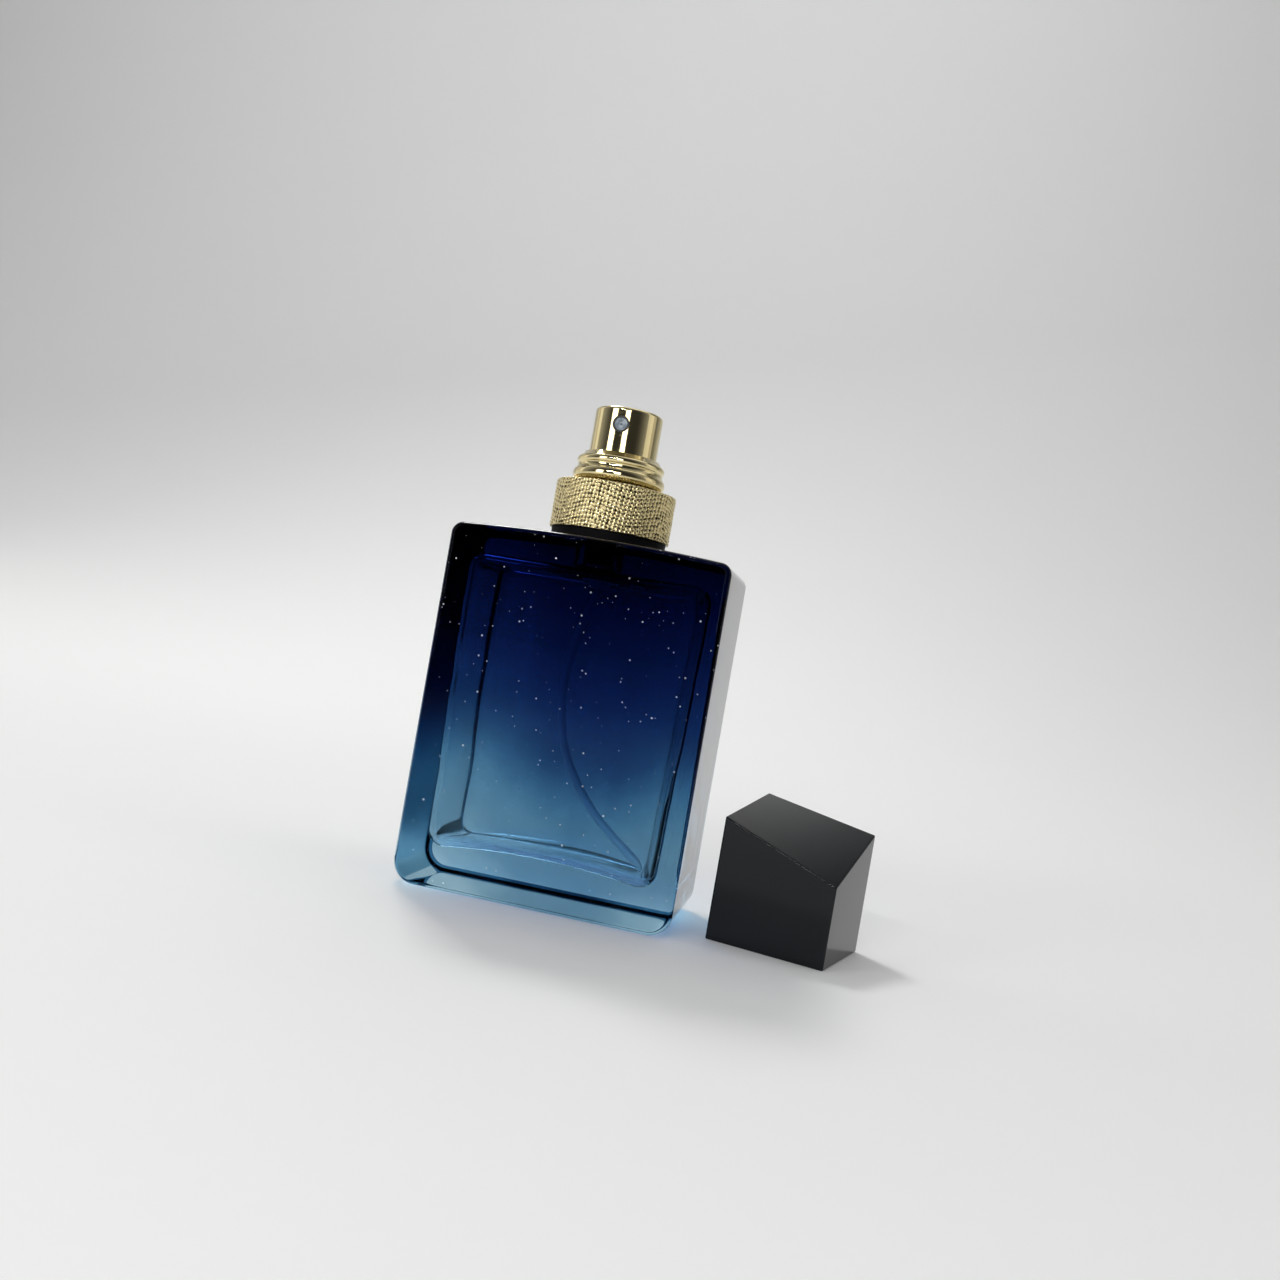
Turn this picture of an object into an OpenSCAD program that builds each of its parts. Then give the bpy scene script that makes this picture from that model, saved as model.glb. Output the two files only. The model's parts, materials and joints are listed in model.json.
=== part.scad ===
// Aftershave bottle: a rectangular glass bottle with a crimped spray pump, a decorative collar
// and a slant-topped cap that stands beside it.
// Origin: centre of the bottle's base. +Z up, front of the bottle towards -Y.

/* [Bottle] */
// Width of the glass body
bottle_w = 56.5; // [52:0.5:64]
// Depth of the glass body, front to back
bottle_d = 32; // [29:0.5:40]
// Height of the glass body at the ends of the shoulder
bottle_h = 72.3; // [70:0.1:72.4]
// Rise of the shoulder from its ends to the neck
shoulder_rise = 0.9; // [0.3:0.1:1]
// Corner radius of the front face at the shoulder
top_corner_r = 2.4; // [1.5:0.1:3.5]
// Corner radius of the front face at the base
base_corner_r = 4.6; // [2.5:0.1:5.5]
// Rounding of the edges round the front and back faces
edge_r = 1.1; // [0.6:0.1:1.4]

/* [Bottle inside] */
// Thickness of the side walls near the base
side_wall = 4.8; // [3.5:0.1:6]
// How much thinner the side walls are near the shoulder
wall_draft = 1.4; // [0:0.1:2]
// Thickness of the front and back walls
face_wall = 3.4; // [2.5:0.1:4.5]
// Lowest point of the inside above the base
base_thick = 7.8; // [6:0.1:9]
// Rise of the inside floor at its middle
floor_rise = 1.4; // [0.4:0.1:2]
// Corner radius of the inside
cavity_r = 3.5; // [3:0.1:6]

/* [Collar] */
// Outer diameter of the collar
collar_d = 25; // [24:0.1:27]
// Height of the collar
collar_h = 9.9; // [9:0.1:10.5]
// Height of the collar's top face above the bottle's base
collar_top_z = 85.1; // [84.9:0.1:85.2]

/* [Ferrule] */
// Largest radius of the lower bead
lower_bead_r = 9.6; // [9.4:0.1:9.7]
// Largest radius of the upper bead
upper_bead_r = 9.1; // [9:0.1:9.3]

/* [Actuator] */
// Diameter of the actuator
actuator_d = 14; // [13.6:0.1:14.2]
// Height of the actuator's top above the bottle's base
actuator_top_z = 101; // [100.5:0.1:101.4]
// Distance that the actuator travels when it is pressed
press_travel = 4; // [3:0.1:4]
// Diameter of the nozzle insert
nozzle_d = 2.8; // [2.7:0.1:3.6]

/* [Cap] */
// Side of the cap's square footprint
cap_side = 24; // [24:0.1:27]
// Height of the cap's lowest corner
cap_low = 15.8; // [15.4:0.1:18]
// Height of the two corners beside the lowest one
cap_mid = 24.2; // [23:0.1:26]
// Height of the cap's highest corner
cap_high = 28; // [26:0.1:34]
// Turn of the cap about its own upright axis
cap_turn = -15; // [-45:1:45]
// Distance of the cap's centre from the bottle's right side
cap_gap = 20.75; // [19.5:0.25:40]
// Place of the cap's centre behind the bottle's centre
cap_y = 1; // [-20:0.5:20]

/* [Hidden] */
$fn = 96;

// Small overlap that makes a cut run past the face it opens
eps = 0.5;
// Gap between two pieces that slide or turn on each other
slide_gap = 0.05;
// Gap between two pieces that are assembled and stay put
seat_gap = 0.03;
// Gap between two pieces that never touch
free_gap = 0.1;

// Steps in each half of the shoulder's crown
crown_steps = 6;

// Heights of the neck and of the pump's stack on it, from the shoulder up
neck_top_z = 82.6;
neck_r = 6.5;
neck_bead_r = 7.5;
neck_bead_h = 3.6;
neck_bore_r = 5;
// Thickness of the glass over the inside, and how far the neck is rooted in the body
shoulder_thick = 5;
neck_root = 2;
gasket_h = 0.8;
flange_z = neck_top_z + gasket_h;
flange_h = 1;
turret_z = flange_z + flange_h;
turret_flange_h = 0.8;
crimp_z = turret_z + turret_flange_h;
sheet = 0.5;
crimp_top_z = crimp_z + sheet;

// Pump: the barrel's bore, and the heights of what works in it
flange_r = 7;
throat_r = 4.7;
throat_z = 78;
barrel_bore_r = 3;
barrel_r = 3.8;
spring_floor_z = 70.4;
ball_seat_z = 68;
barrel_foot_z = 67.6;
tail_z = 64.4;
tail_r = 2.2;
tube_r = 0.9;
tube_bore_r = 0.6;
tube_socket_z = 67.2;
inlet_r = 0.7;
ball_r = 1;
ball_chamber_r = 1.3;
ball_lip_r = 0.88;
ball_lip_h = 0.3;
rod_head_z = 76.8;
rod_head_h = 0.8;
rod_head_r = 2.3;
rod_guide_h = 1;
rod_guide_gap = 0.5;
stem_foot_z = rod_head_z + rod_head_h;
stem_r = 1.75;
stem_bore_r = 0.8;
stem_top_z = 97;
stem_flange_r = 2.6;
stem_flange_h = 0.8;
seal_h = 0.8;
seal_r = 3.5;
seal_z = turret_z - seal_h;
stem_flange_z = seal_z - slide_gap - stem_flange_h;
piston_h = 2.8;
lip_h = 0.7;
piston_waist_r = 2.4;
piston_top_z = stem_foot_z + piston_h;
turret_hub_r = 4.4;
turret_hub_z = 89;
return_coil_r = 2.6;
return_wire = 0.4;
piston_coil_r = 2.5;
piston_wire = 0.3;

// Ferrule sleeve: two beads round a cup that the actuator sinks into
sleeve_rim_z = 91.3;
cup_gap = 0.35;
cup_r = actuator_d / 2 + cup_gap;
lower_mid_r = 8;
upper_mid_r = 7.85;
// Each bead: radius and height of its outline's centre, and radius of the outline
lower_bead = [lower_mid_r, 87, lower_bead_r - lower_mid_r];
upper_bead = [upper_mid_r, 90.05, upper_bead_r - upper_mid_r];
bead_land = 0.6;
cup_wall = 1;
crimp_r = 8.2;
sleeve_r = 8.8;
sleeve_foot_z = 79.4;

// Collar and its liner
collar_wall = 0.6;
collar_z = collar_top_z - collar_h;
shoulder_gap = 0.3;
liner_foot_z = bottle_h + shoulder_rise + shoulder_gap;
liner_wall = 1.1;
liner_grip_h = 4;

// Actuator
actuator_r = actuator_d / 2;
shell_wall = 0.4;
shell_edge_r = 0.7;
actuator_sink = 0.8;
actuator_foot_z = sleeve_rim_z - actuator_sink;
core_r = actuator_r - shell_wall - seat_gap;
core_edge = shell_edge_r - shell_wall;
core_skirt_r = 5.5;
core_skirt_h = 5;
core_top_z = actuator_top_z - shell_wall - seat_gap;
boss_r = 3.3;
boss_gap = 0.5;
boss_foot_z = turret_hub_z + press_travel + boss_gap;
nozzle_drop = 3.6;
nozzle_z = actuator_top_z - nozzle_drop;
nozzle_r = nozzle_d / 2;
// Pocket of the nozzle insert, and the post that stands in it
pocket_depth = 3.2;
post_r = 0.9;
post_back = 1.1;
feed_rise = 1;
feed_z = nozzle_z + feed_rise;
feed_r = 0.45;
nozzle_wall_gap = 0.2;
nozzle_rim_gap = 0.35;
nozzle_inset = 0.25;

// Cap: the stepped hollow that takes the ferrule's beads and the actuator
cap_mouth_r = 10.5;
cap_mouth_h = 6.6;
cap_top_bore_r = 9;
cap_bore_h = 17.2;
cap_grip_gap = 0.15;
cap_grip_r = lower_bead_r + cap_grip_gap;
cap_grip_z = 0.4;
cap_inner_gap = 0.6;
cap_inner_r = actuator_r + cap_inner_gap;
cap_roof = 0.6;
cap_step = 0.4;
cap_lap = 1;
cap_x = bottle_w / 2 + cap_gap;
cap_cells = 8;

// ---------- shared shapes ----------

// Ring with its foot at z
module ring(outer, inner, z, h) {
    translate([0, 0, z])
        difference() {
            cylinder(r = outer, h = h);
            translate([0, 0, -eps]) cylinder(r = inner, h = h + 2 * eps);
        }
}

// Cylinder with its foot at z
module rod(r, z, h) {
    translate([0, 0, z]) cylinder(r = r, h = h);
}

// Cylinder that lies along Y from y to y + len, at height z
module lying_rod(r, z, y, len) {
    translate([0, y, z]) rotate([-90, 0, 0]) cylinder(r = r, h = len);
}

// Rounded corner of the glass seen from the front: a torus quarter at both ends of the depth
module corner(x, z, r) {
    for (side = [-1, 1])
        translate([x, side * (bottle_d / 2 - edge_r), z])
            rotate([90, 0, 0])
                rotate_extrude($fn = 48) translate([r - edge_r, 0]) circle(r = edge_r, $fn = 24);
}

// Point on a cubic curve
function bezier(a, b, c, d, t) =
    pow(1 - t, 3) * a + 3 * t * pow(1 - t, 2) * b + 3 * t * t * (1 - t) * c + pow(t, 3) * d;

function unit(v) = v / norm(v);

// Direction of a path at each of its points
function path_dir(path, i) = unit(path[min(i + 1, len(path) - 1)] - path[max(i - 1, 0)]);

// Ring of points round a path's point. The path never runs along the given side direction.
function path_ring(path, i, r, sides, side_dir) =
    let (dir = path_dir(path, i), across = unit(cross(side_dir, dir)), other = cross(dir, across))
    [for (k = [0 : sides - 1])
        let (angle = 360 * k / sides)
        path[i] + r * (cos(angle) * across + sin(angle) * other)];

// Side faces between the rings of points that start at a and b
function ring_faces(a, b, sides) =
    [for (k = [0 : sides - 1]) [a + k, b + k, b + (k + 1) % sides, a + (k + 1) % sides]];

// Side faces of a whole swept wall whose first point is number start
function wall_faces(start, rings, sides) =
    [for (i = [0 : rings - 2]) each ring_faces(start + i * sides, start + (i + 1) * sides, sides)];

// Points of a whole swept wall
function wall_points(path, r, sides, side_dir) =
    [for (i = [0 : len(path) - 1]) each path_ring(path, i, r, sides, side_dir)];

// Solid rod swept along a path
module sweep(path, r, sides, side_dir) {
    last_ring = (len(path) - 1) * sides;
    first_end = [[for (k = [0 : sides - 1]) k]];
    last_end = [[for (k = [0 : sides - 1]) last_ring + sides - 1 - k]];
    polyhedron(
        wall_points(path, r, sides, side_dir),
        concat(first_end, wall_faces(0, len(path), sides), last_end),
        convexity = 8
    );
}

// Tube swept along a path
module sweep_tube(path, outer, inner, sides, side_dir) {
    count = len(path) * sides;
    last_ring = count - sides;
    bore = [for (face = wall_faces(count, len(path), sides)) [for (k = [3 : -1 : 0]) face[k]]];
    first_end = ring_faces(count, 0, sides);
    last_end = ring_faces(last_ring, last_ring + count, sides);
    polyhedron(
        concat(wall_points(path, outer, sides, side_dir), wall_points(path, inner, sides, side_dir)),
        concat(first_end, wall_faces(0, len(path), sides), bore, last_end),
        convexity = 8
    );
}

// Coil spring from z to z + h, outside radius outer
module coil(outer, wire, z, h, turns, steps) {
    mid_r = outer - wire / 2;
    path = [for (i = [0 : steps])
        let (angle = 360 * turns * i / steps)
        [mid_r * cos(angle), mid_r * sin(angle), z + wire / 2 + (h - wire) * i / steps]];
    sweep(path, wire / 2, 6, [0, 0, 1]);
}

// ---------- bottle ----------

// Height of the shoulder at a share of the way from the middle to its end
function shoulder_z(share) = bottle_h + shoulder_rise * (1 - share * share);

// Outside of the glass body
module glass_block() {
    shoulder_half = bottle_w / 2 - top_corner_r;
    hull() {
        for (side = [-1, 1]) {
            corner(side * (bottle_w / 2 - base_corner_r), base_corner_r, base_corner_r);
            corner(side * shoulder_half, bottle_h - top_corner_r, top_corner_r);
        }
        // Gently crowned shoulder
        for (step = [1 - crown_steps : crown_steps - 1], side = [-1, 1]) {
            share = step / crown_steps;
            translate([share * shoulder_half, side * (bottle_d / 2 - edge_r), shoulder_z(share) - edge_r])
                sphere(r = edge_r, $fn = 24);
        }
    }
}

// Space inside the glass body
module cavity() {
    low_x = bottle_w / 2 - side_wall - cavity_r;
    high_x = low_x + wall_draft;
    half_y = bottle_d / 2 - face_wall - cavity_r;
    high_z = bottle_h - shoulder_thick - cavity_r;
    floor_r = (low_x * low_x + floor_rise * floor_rise) / (2 * floor_rise);
    difference() {
        hull()
            for (sx = [-1, 1], sy = [-1, 1]) {
                translate([sx * low_x, sy * half_y, base_thick + cavity_r]) sphere(r = cavity_r, $fn = 32);
                translate([sx * high_x, sy * half_y, high_z]) sphere(r = cavity_r, $fn = 32);
            }
        // Crowned floor
        translate([0, bottle_d / 2, base_thick + floor_rise - floor_r])
            rotate([90, 0, 0]) cylinder(r = floor_r, h = bottle_d, $fn = 360);
    }
}

module glass_bottle() {
    bore_foot_z = bottle_h - 2 * shoulder_thick;
    color("midnightblue")
        difference() {
            union() {
                glass_block();
                rod(neck_r, bottle_h - neck_root, neck_top_z - bottle_h + neck_root);
                rod(neck_bead_r, neck_top_z - neck_bead_h, neck_bead_h);
            }
            cavity();
            rod(neck_bore_r, bore_foot_z, neck_top_z - bore_foot_z + eps);
        }
}

// ---------- pump, fixed pieces ----------

module neck_gasket() {
    color("dimgray") ring(neck_bead_r - free_gap, throat_r + free_gap, neck_top_z, gasket_h);
}

module pump_housing() {
    color("whitesmoke")
        difference() {
            union() {
                rod(flange_r, flange_z, flange_h);
                rod(throat_r, throat_z, flange_z - throat_z);
                rod(barrel_r, barrel_foot_z, throat_z - barrel_foot_z);
                rod(tail_r, tail_z, barrel_foot_z - tail_z);
            }
            rod(seal_r + free_gap, seal_z, seal_h + eps);
            rod(barrel_bore_r, spring_floor_z, seal_z - spring_floor_z + eps);
            rod(ball_lip_r, spring_floor_z - eps, 2 * eps);
            rod(ball_chamber_r, ball_seat_z, spring_floor_z - ball_lip_h - ball_seat_z);
            rod(inlet_r, tube_socket_z - eps, ball_seat_z - tube_socket_z + 2 * eps);
            rod(tube_r, tail_z - eps, tube_socket_z - tail_z + eps);
        }
}

module stem_seal() {
    color("black") ring(seal_r, stem_r + slide_gap, seal_z, seal_h);
}

module turret() {
    color("whitesmoke")
        difference() {
            union() {
                rod(flange_r, turret_z, turret_flange_h);
                rod(turret_hub_r, turret_z, turret_hub_z - turret_z);
            }
            rod(stem_r + slide_gap, turret_z - eps, turret_hub_z - turret_z + 2 * eps);
        }
}

// Thin cup over the neck's bead, its foot turned in under the bead and its top over the turret
module crimp_ferrule() {
    inner = crimp_r - sheet;
    foot_z = neck_top_z - neck_bead_h - seat_gap - sheet;
    color("silver") {
        ring(crimp_r, inner, foot_z, crimp_top_z - foot_z - sheet);
        ring(crimp_r, neck_r + free_gap, foot_z, sheet);
        ring(crimp_r, turret_hub_r + free_gap, crimp_z, sheet);
    }
}

// Outline of one bead: a circle with a short straight land
module bead(spec) {
    half_land = bead_land / 2;
    for (side = [-1, 1])
        translate([spec[0], spec[1] + side * half_land]) circle(r = spec[2]);
    translate([spec[0], spec[1] - half_land]) square([spec[2], bead_land]);
}

module ferrule_sleeve() {
    skirt_top_z = lower_bead[1];
    color("gold")
        rotate_extrude()
            difference() {
                union() {
                    bead(lower_bead);
                    bead(upper_bead);
                    translate([cup_r, crimp_top_z]) square([cup_wall, upper_bead[1] - crimp_top_z]);
                    translate([crimp_r + seat_gap, sleeve_foot_z])
                        square([sleeve_r - crimp_r - seat_gap, skirt_top_z - sleeve_foot_z]);
                }
                translate([0, crimp_top_z]) square([cup_r, sleeve_rim_z - crimp_top_z + eps]);
                translate([0, sleeve_foot_z - eps])
                    square([crimp_r + seat_gap, crimp_top_z + seat_gap - sleeve_foot_z + eps]);
            }
}

// ---------- collar ----------

module collar() {
    outer = collar_d / 2;
    color("goldenrod")
        difference() {
            rod(outer, collar_z, collar_h);
            rod(outer - collar_wall, collar_z - eps, collar_h - collar_wall + eps);
            rod(sleeve_r + free_gap, collar_z, collar_h + eps);
        }
}

module collar_liner() {
    outer = collar_d / 2 - collar_wall - seat_gap;
    top_z = collar_top_z - collar_wall - seat_gap;
    color("black")
        difference() {
            rod(outer, liner_foot_z, top_z - liner_foot_z);
            rod(outer - liner_wall, liner_foot_z - eps, top_z - liner_grip_h - liner_foot_z + eps);
            rod(sleeve_r + seat_gap, top_z - liner_grip_h - eps, liner_grip_h + 2 * eps);
        }
}

// ---------- dip tube ----------

// Route of the tube: straight in the housing's tail, then bowed into the right-hand corner
tube_start = [0, 0, tail_z - 1];
tube_bow = [-9.5, 0, 38];
tube_turn = [-0.5, 0, 20.8];
tube_corner_x = 3.4;
tube_corner_z = 1.5;
tube_end = [bottle_w / 2 - side_wall - tube_corner_x, 0, base_thick + tube_corner_z];
tube_steps = 22;
tube_sides = 12;
tube_seat_gap = 0.2;
tube_path = concat(
    [[0, 0, tube_socket_z - tube_seat_gap], [0, 0, tail_z + tube_seat_gap]],
    [for (i = [0 : tube_steps]) bezier(tube_start, tube_bow, tube_turn, tube_end, i / tube_steps)]
);

module dip_tube() {
    color("aliceblue") sweep_tube(tube_path, tube_r, tube_bore_r, tube_sides, [0, 1, 0]);
}

// ---------- pump, moving pieces ----------

module inlet_ball() {
    drop = sqrt(ball_r * ball_r - inlet_r * inlet_r);
    color("lightsteelblue") translate([0, 0, ball_seat_z + drop]) sphere(r = ball_r);
}

module return_spring() {
    color("silver") coil(return_coil_r, return_wire, spring_floor_z, rod_head_z - spring_floor_z, 6, 72);
}

// Head that carries the piston, with a fluted pin that plugs into the stem
module valve_rod() {
    pin_r = stem_bore_r - seat_gap;
    pin_h = 3.4;
    guide_r = return_coil_r - return_wire - rod_guide_gap;
    color("white") {
        // Guide inside the spring's last turn
        rod(guide_r, rod_head_z - rod_guide_h, rod_guide_h);
        rod(rod_head_r, rod_head_z, rod_head_h);
        difference() {
            rod(pin_r, stem_foot_z, pin_h);
            // Flute that lets the liquid past the pin
            translate([pin_r / 2, -pin_r, stem_foot_z + seat_gap]) cube([pin_r, 2 * pin_r, pin_h]);
        }
    }
}

module stem() {
    port_r = 0.35;
    port_z = stem_foot_z + 0.6;
    color("white")
        difference() {
            union() {
                rod(stem_r, stem_foot_z, stem_top_z - stem_foot_z);
                rod(stem_flange_r, stem_flange_z, stem_flange_h);
            }
            rod(stem_bore_r, stem_foot_z - eps, stem_top_z - stem_foot_z + 2 * eps);
            // Port at the stem's foot, which the piston covers at rest
            translate([0, 0, port_z]) rotate([0, 90, 0]) cylinder(r = port_r, h = stem_r + eps);
        }
}

module piston() {
    color("lightgray")
        difference() {
            rod(barrel_bore_r - slide_gap, stem_foot_z, piston_h);
            ring(barrel_bore_r + eps, piston_waist_r, stem_foot_z + lip_h, piston_h - 2 * lip_h);
            rod(stem_r + slide_gap, stem_foot_z - eps, piston_h + 2 * eps);
        }
}

module piston_spring() {
    color("silver") coil(piston_coil_r, piston_wire, piston_top_z, stem_flange_z - piston_top_z, 4, 56);
}

// ---------- actuator ----------

module actuator_core() {
    socket_r = stem_r + slide_gap;
    pocket_y = -core_r - eps;
    color("dimgray")
        difference() {
            union() {
                rod(core_r, actuator_foot_z, core_top_z - core_edge - actuator_foot_z);
                // Chamfered edge under the shell's rounded one
                translate([0, 0, core_top_z - core_edge])
                    cylinder(r1 = core_r, r2 = core_r - core_edge, h = core_edge);
            }
            // Hollow round the stem's boss
            ring(core_skirt_r, boss_r, actuator_foot_z - eps, core_skirt_h + eps);
            rod(core_skirt_r, actuator_foot_z - eps, boss_foot_z - actuator_foot_z + eps);
            // Socket of the stem, and the way from it to the nozzle
            rod(socket_r, boss_foot_z - eps, stem_top_z + slide_gap - boss_foot_z + eps);
            rod(feed_r, stem_top_z, feed_z - stem_top_z);
            lying_rod(feed_r, feed_z, -core_r + pocket_depth - eps, core_r - pocket_depth + eps);
            // Pocket of the nozzle insert, with the post left standing in it
            difference() {
                lying_rod(nozzle_r + seat_gap, nozzle_z, pocket_y, pocket_depth + eps);
                lying_rod(post_r, nozzle_z, -core_r + post_back, pocket_depth);
            }
        }
}

module actuator_shell() {
    body_top = actuator_top_z - shell_edge_r;
    color("gold")
        difference() {
            rotate_extrude()
                union() {
                    translate([actuator_r - shell_wall, actuator_foot_z])
                        square([shell_wall, body_top - actuator_foot_z]);
                    translate([0, actuator_top_z - shell_wall])
                        square([actuator_r - shell_edge_r, shell_wall]);
                    // Rounded edge of the top
                    intersection() {
                        translate([actuator_r - shell_edge_r, body_top])
                            difference() {
                                circle(r = shell_edge_r);
                                circle(r = shell_edge_r - shell_wall);
                            }
                        translate([actuator_r - shell_edge_r, body_top]) square(shell_edge_r);
                    }
                }
            lying_rod(nozzle_r + nozzle_rim_gap, nozzle_z, -actuator_r - eps, actuator_r / 2);
        }
}

// Cup over the post, with the spray hole through its face
module nozzle_insert() {
    face_y = -actuator_r + nozzle_inset;
    face_h = 0.55;
    back_y = -core_r + pocket_depth - free_gap;
    spray_r = 0.15;
    dish_r = 0.7;
    dish_depth = 0.15;
    color("lightslategray")
        difference() {
            lying_rod(nozzle_r, nozzle_z, face_y, back_y - face_y);
            lying_rod(post_r + nozzle_wall_gap, nozzle_z, face_y + face_h, back_y - face_y);
            lying_rod(spray_r, nozzle_z, face_y - eps, face_h + 2 * eps);
            // Shallow dish round the spray hole
            lying_rod(dish_r, nozzle_z, face_y - eps, dish_depth + eps);
        }
}

// ---------- cap ----------

// Height of the cap's top at u, v, both from 0 at the low corner to 1 at the high corner
function cap_height(u, v) =
    cap_low * (1 - u) * (1 - v) + cap_mid * (u * (1 - v) + v * (1 - u)) + cap_high * u * v;

// Triangles that fan out from an outline's first point
function fan(outline) = [for (k = [1 : len(outline) - 2]) [outline[0], outline[k], outline[k + 1]]];

// Square block whose straight top edges join four corners of different heights
module cap_block() {
    n = cap_cells;
    row = n + 1;
    half = cap_side / 2;
    top = [for (j = [0 : n], i = [0 : n])
        [half - cap_side * i / n, -half + cap_side * j / n, cap_height(i / n, j / n)]];
    foot = [for (j = [0, 1], i = [0, 1]) [half - cap_side * i, -half + cap_side * j, 0]];
    low_foot = row * row;
    cells = [for (j = [0 : n - 1], i = [0 : n - 1]) j * row + i];
    top_faces = [for (c = cells) each [[c, c + 1, c + row + 1], [c, c + row + 1, c + row]]];
    front_wall = concat([low_foot + 1], [for (i = [n : -1 : 0]) i], [low_foot]);
    left_wall = concat([low_foot + 3], [for (j = [n : -1 : 0]) j * row + n], [low_foot + 1]);
    back_wall = concat([low_foot + 2], [for (i = [0 : n]) n * row + i], [low_foot + 3]);
    right_wall = concat([low_foot], [for (j = [0 : n]) j * row], [low_foot + 2]);
    foot_face = [low_foot, low_foot + 2, low_foot + 3, low_foot + 1];
    sides = [front_wall, left_wall, back_wall, right_wall, foot_face];
    side_faces = [for (outline = sides) each fan(outline)];
    polyhedron(concat(top, foot), concat(top_faces, side_faces), convexity = 4);
}

module place_cap() {
    translate([cap_x, cap_y, 0]) rotate([0, 0, cap_turn]) children();
}

module cap_shell() {
    color("black")
        place_cap()
            difference() {
                cap_block();
                rod(cap_mouth_r, -eps, cap_mouth_h + eps);
                rod(cap_top_bore_r, cap_mouth_h - eps, cap_bore_h - cap_mouth_h + eps);
            }
}

module cap_liner() {
    lap_z = cap_mouth_h - cap_lap;
    color("dimgray")
        place_cap()
            difference() {
                union() {
                    rod(cap_mouth_r - seat_gap, cap_grip_z, cap_mouth_h - seat_gap - cap_grip_z);
                    rod(cap_top_bore_r - seat_gap, lap_z, cap_bore_h - seat_gap - lap_z);
                }
                rod(cap_grip_r, cap_grip_z - eps, cap_mouth_h - cap_step - cap_grip_z + eps);
                rod(cap_inner_r, lap_z, cap_bore_h - seat_gap - cap_roof - lap_z);
            }
}

glass_bottle();
neck_gasket();
pump_housing();
stem_seal();
turret();
crimp_ferrule();
ferrule_sleeve();
collar();
collar_liner();
dip_tube();
inlet_ball();
return_spring();
valve_rod();
stem();
piston();
piston_spring();
actuator_core();
actuator_shell();
nozzle_insert();
cap_shell();
cap_liner();
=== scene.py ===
import json
import math

import bmesh
import bpy
import numpy as np
from mathutils import Matrix, Vector

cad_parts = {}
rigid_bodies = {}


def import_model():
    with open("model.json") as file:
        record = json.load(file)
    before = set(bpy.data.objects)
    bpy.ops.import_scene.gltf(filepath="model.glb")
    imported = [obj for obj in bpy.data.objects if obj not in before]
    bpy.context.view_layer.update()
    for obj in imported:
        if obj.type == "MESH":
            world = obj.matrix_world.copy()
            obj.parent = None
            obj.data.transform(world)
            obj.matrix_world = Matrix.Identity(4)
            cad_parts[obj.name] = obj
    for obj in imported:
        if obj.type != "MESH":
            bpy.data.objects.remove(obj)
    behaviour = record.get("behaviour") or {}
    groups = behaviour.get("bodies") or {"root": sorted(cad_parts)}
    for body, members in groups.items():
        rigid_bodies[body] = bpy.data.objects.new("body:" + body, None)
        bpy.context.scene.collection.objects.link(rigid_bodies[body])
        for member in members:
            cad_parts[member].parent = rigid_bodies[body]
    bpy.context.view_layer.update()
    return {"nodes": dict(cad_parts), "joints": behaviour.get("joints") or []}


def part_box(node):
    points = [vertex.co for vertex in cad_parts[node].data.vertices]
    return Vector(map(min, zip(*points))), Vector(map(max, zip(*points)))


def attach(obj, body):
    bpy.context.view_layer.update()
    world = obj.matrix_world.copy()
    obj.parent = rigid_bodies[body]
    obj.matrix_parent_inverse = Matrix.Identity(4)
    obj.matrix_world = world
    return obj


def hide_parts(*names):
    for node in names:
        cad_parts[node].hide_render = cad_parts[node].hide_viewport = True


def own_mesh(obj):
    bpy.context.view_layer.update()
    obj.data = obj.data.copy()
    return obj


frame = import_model()
nodes = frame["nodes"]
MM = 0.001                          # a millimetre in metres
rng = np.random.default_rng(11)     # the one source of every random draw


# ---------- mesh helpers ----------

def new_object(name, verts, faces, materials, face_material=None):
    """Smooth-shaded mesh object in the CAD's frame, with its faces turned outwards."""
    mesh = bpy.data.meshes.new(name)
    mesh.from_pydata([tuple(v) for v in verts], [], [tuple(int(i) for i in f) for f in faces])
    for material in materials:
        mesh.materials.append(material)
    if face_material is not None:
        for polygon in mesh.polygons:
            polygon.material_index = face_material(polygon.index)
    work = bmesh.new()
    work.from_mesh(mesh)
    bmesh.ops.recalc_face_normals(work, faces=work.faces)
    work.to_mesh(mesh)
    work.free()
    for polygon in mesh.polygons:
        polygon.use_smooth = True
    obj = bpy.data.objects.new(name, mesh)
    bpy.context.scene.collection.objects.link(obj)
    return obj


def ring_quads(first, second, count):
    """Quads between two closed rings of points that start at first and second."""
    return [(first + k, first + (k + 1) % count, second + (k + 1) % count, second + k)
            for k in range(count)]


def lathe(name, profile, materials, steps=192):
    """Closed solid of revolution about Z from a closed profile of (radius, height) points."""
    verts, faces = [], []
    count = len(profile)
    for k in range(steps):
        angle = 2 * math.pi * k / steps
        verts += [(r * math.cos(angle), r * math.sin(angle), z) for r, z in profile]
    for k in range(steps):
        a, b = k * count, ((k + 1) % steps) * count
        faces += [(a + j, b + j, b + (j + 1) % count, a + (j + 1) % count) for j in range(count)]
    return new_object(name, verts, faces, materials)


def arc_points(cx, cz, radius, start, end, steps):
    """Points along an arc in the plane, from one angle in degrees to another."""
    angles = [math.radians(start + (end - start) * k / steps) for k in range(steps + 1)]
    return [(cx + radius * math.cos(a), cz + radius * math.sin(a)) for a in angles]


# ---------- material helpers ----------

RANGE_SOCKETS = ("From Min", "From Max", "To Min", "To Max")


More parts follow.
